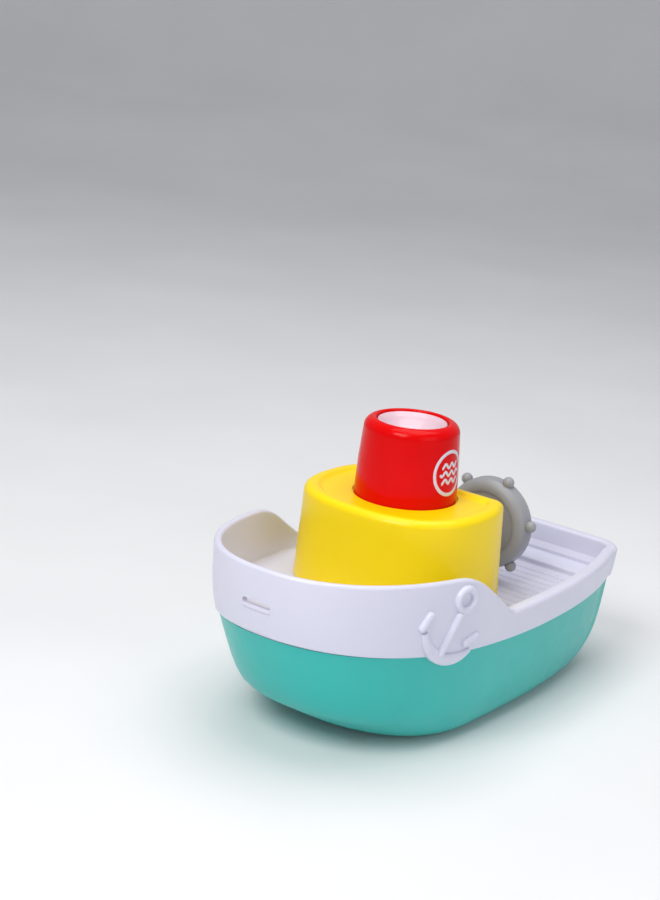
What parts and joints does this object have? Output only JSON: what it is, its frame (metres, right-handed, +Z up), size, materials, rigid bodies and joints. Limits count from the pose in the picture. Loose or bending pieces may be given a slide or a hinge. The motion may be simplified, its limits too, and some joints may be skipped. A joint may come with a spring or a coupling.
{
  "type": "bath toy tugboat",
  "caption": "Bath-toy tugboat: sealed hull, deck with cabin, funnel with a spray nozzle fed by a battery pump, and a turning ship's wheel aft.",
  "frame": {"origin": "centre of the boat's bounding box, on the plane of the hull's flat bottom", "axes": "+X towards the bow, +Y to port, +Z up towards the funnel mouth"},
  "size_m": [0.2299, 0.119, 0.13],
  "materials": {
    "teal_plastic": "glossy moulded",
    "white_plastic": "glossy moulded",
    "yellow_plastic": "glossy moulded",
    "red_plastic": "glossy moulded",
    "grey_plastic": "satin moulded",
    "pink_plastic": "glossy moulded",
    "clear_tube": "milky flexible tube",
    "dark_plastic": "moulded",
    "natural_plastic": "moulded",
    "magnet": "sintered",
    "board": "laminate",
    "seal_rubber": "moulded",
    "steel": "bright",
    "copper_core": "wound",
    "contact_brass": "plated",
    "cell_jacket": "sleeved",
    "red_wire": "insulated",
    "black_wire": "insulated"
  },
  "bodies": {
    "boat": {"hull_shell": "teal_plastic", "hull_seal": "seal_rubber", "deck_shell": "white_plastic", "cabin_shell": "yellow_plastic", "funnel_shell": "red_plastic", "nozzle_dish": "pink_plastic", "riser_tube": "clear_tube", "pump_housing": "dark_plastic", "intake_grille": "teal_plastic", "shaft_seal": "seal_rubber", "motor_bracket": "dark_plastic", "motor_can": "steel", "motor_end_cap": "natural_plastic", "motor_magnet_port": "magnet", "motor_magnet_starboard": "magnet", "battery_box": "dark_plastic", "battery_door": "teal_plastic", "battery_door_seal": "seal_rubber", "contact_plate_port": "contact_brass", "contact_plate_starboard": "contact_brass", "circuit_board": "board", "control_chip": "dark_plastic", "water_contact_port": "steel", "water_contact_starboard": "steel", "motor_lead_red": "red_wire", "motor_lead_black": "black_wire", "contact_lead_port": "black_wire", "contact_lead_starboard": "black_wire", "door_screw": "steel", "wheel_pedestal": "white_plastic", "wheel_bush": "natural_plastic", "wheel_washer": "natural_plastic", "battery_1": "cell_jacket", "battery_spring_1": "steel", "battery_2": "cell_jacket", "battery_spring_2": "steel", "battery_3": "cell_jacket", "battery_spring_3": "steel", "hull_screw_1": "steel", "hull_screw_2": "steel", "hull_screw_3": "steel", "hull_screw_4": "steel", "cabin_screw_1": "steel", "cabin_screw_2": "steel", "cabin_screw_3": "steel", "cabin_screw_4": "steel", "funnel_screw_1": "steel", "funnel_screw_2": "steel", "pedestal_screw_1": "steel", "pedestal_screw_2": "steel"},
    "wheel": {"ships_wheel": "grey_plastic", "wheel_shaft": "steel", "shaft_clip": "steel"},
    "rotor": {"motor_shaft": "steel", "motor_armature": "copper_core", "impeller": "natural_plastic"}
  },
  "joints": [
    {"name": "wheel_spin", "type": "hinge", "parent": "boat", "child": "wheel", "pos_m": [-0.056, 0, 0.0679], "axis": [1, 0, 0], "continuous": true},
    {"name": "pump_rotor_spin", "type": "hinge", "parent": "boat", "child": "rotor", "pos_m": [0.016, 0, 0.02], "axis": [0, 0, 1], "continuous": true}
  ]
}
